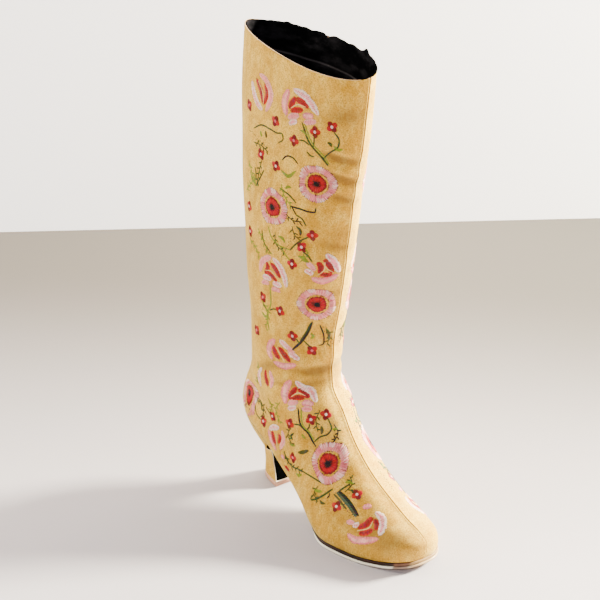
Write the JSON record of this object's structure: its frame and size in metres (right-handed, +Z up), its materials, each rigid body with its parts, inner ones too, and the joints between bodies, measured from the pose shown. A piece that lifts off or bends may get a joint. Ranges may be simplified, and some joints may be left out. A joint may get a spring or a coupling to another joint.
{
  "type": "flamenco boot",
  "caption": "Knee-high right-foot dance boot of sand suede, with embroidered flowers, a waisted covered heel, a front seam and an inner-side zip.",
  "frame": {"origin": "centre of the heel's tread, on the floor", "axes": "+X to the boot's left, which is its inner side, -Y towards the toe, +Z up the shaft"},
  "size_m": [0.0967, 0.2617, 0.4472],
  "materials": {
    "suede": "napped suede, matt",
    "lining": "smooth black lining, satin",
    "brown_edge": "dark brown rand, waxed",
    "sole_leather": "cream sole edge, smooth",
    "black_leather": "black, polished",
    "tread_leather": "tan stacked tread, satin",
    "zip_cloth": "black woven tape and moulded teeth",
    "dark_metal": "black enamel, semi-gloss"
  },
  "bodies": {
    "root": {"upper": "suede", "zip_tape": "zip_cloth", "zip_chain": "zip_cloth", "insole": "lining", "rand": "brown_edge", "outsole": "sole_leather", "heel": "suede", "breast_cover": "black_leather", "top_piece": "tread_leather", "zip_slider": "dark_metal"},
    "pull_tab": {"pull_tab": "dark_metal"}
  },
  "joints": [
    {"name": "pull_tab_hinge", "type": "hinge", "parent": "root", "child": "pull_tab", "pos_m": [0.03037, -0.07086, 0.42527], "axis": [-0.259, -0.9518, -0.1644], "range_deg": [0, 165]}
  ]
}
